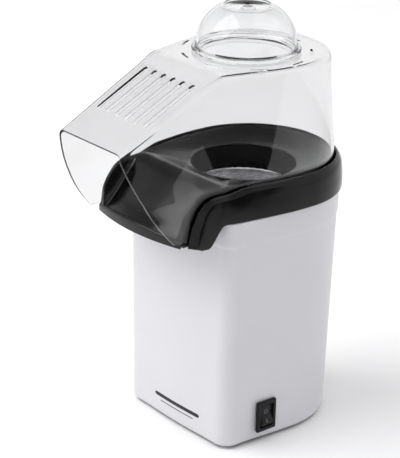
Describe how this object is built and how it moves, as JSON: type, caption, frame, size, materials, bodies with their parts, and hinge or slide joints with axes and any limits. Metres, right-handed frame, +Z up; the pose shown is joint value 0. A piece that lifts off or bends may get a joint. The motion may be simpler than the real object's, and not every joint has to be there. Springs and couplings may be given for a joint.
{
  "type": "popcorn maker",
  "caption": "Small hot-air popcorn maker with a tall white base, a black pouring chute, a clear lift-off hood and a dome-shaped measuring cup.",
  "frame": {"origin": "on the surface it stands on, under the middle of its bounding box", "axes": "+Z up, -Y towards the pouring chute at the front, +X towards the switch"},
  "size_m": [0.1168, 0.1906, 0.28],
  "materials": {
    "white_plastic": "satin white",
    "black_abs": "matte black",
    "rubber": "matte",
    "screw_steel": "zinc plated",
    "black_switch": "semi-gloss black",
    "brass": "plain",
    "black_gloss": "gloss black",
    "clear_plastic": "clear, polished",
    "aluminium": "spun",
    "galvanised": "galvanised",
    "silicone": "matte grey",
    "mica": "flaky board",
    "heater_wire": "heat-tinted",
    "nylon": "dark nylon",
    "ferrite": "sintered",
    "copper": "enamelled winding",
    "circuit_board": "phenolic board",
    "bakelite": "brown",
    "natural_nylon": "natural",
    "lead_brown": "sleeved lead",
    "lead_white": "glass-fibre sleeve",
    "lead_red": "sleeved lead"
  },
  "bodies": {
    "base": {"base_housing": "white_plastic", "bottom_cover": "black_abs", "rubber_foot_1": "rubber", "rubber_foot_2": "rubber", "rubber_foot_3": "rubber", "rubber_foot_4": "rubber", "cover_screw_1": "screw_steel", "cover_screw_2": "screw_steel", "cover_screw_3": "screw_steel", "cover_screw_4": "screw_steel", "cord_grommet": "rubber", "switch_body": "black_switch", "switch_terminal_lower": "brass", "switch_terminal_upper": "brass", "collar": "black_gloss", "chute_tray": "black_gloss", "popping_chamber": "aluminium", "air_sleeve": "galvanised", "chamber_gasket": "silicone", "mica_board_a": "mica", "mica_board_b": "mica", "heating_coil": "heater_wire", "fan_housing": "nylon", "motor_bracket": "galvanised", "motor_screw_1": "screw_steel", "motor_screw_2": "screw_steel", "motor_can": "galvanised", "motor_end_cap": "black_abs", "motor_magnet_left": "ferrite", "motor_magnet_right": "ferrite", "rectifier_board": "circuit_board", "rectifier_diode_1": "black_abs", "rectifier_diode_2": "black_abs", "rectifier_diode_3": "black_abs", "rectifier_diode_4": "black_abs", "thermostat": "bakelite", "thermal_fuse": "brass", "terminal_block": "natural_nylon", "switch_lead": "lead_brown", "heater_lead": "lead_white", "motor_lead": "lead_red"},
    "hood": {"hood": "clear_plastic"},
    "cup": {"measuring_cup": "clear_plastic"},
    "rocker": {"switch_rocker": "black_switch"},
    "fan": {"fan_impeller": "nylon", "motor_shaft": "screw_steel", "motor_armature": "copper"}
  },
  "joints": [
    {"name": "hood_lift", "type": "slide", "parent": "base", "child": "hood", "axis": [0, 0, 1], "range_m": [0, 0.12]},
    {"name": "cup_lift", "type": "slide", "parent": "hood", "child": "cup", "axis": [0, 0, 1], "range_m": [0, 0.06]},
    {"name": "switch_rock", "type": "hinge", "parent": "base", "child": "rocker", "pos_m": [0.0523, 0.00655, 0.0189], "axis": [0, 1, 0], "range_deg": [0, 16]},
    {"name": "fan_spin", "type": "hinge", "parent": "base", "child": "fan", "pos_m": [0, 0.02795, 0.064], "axis": [0, 0, 1], "continuous": true}
  ]
}
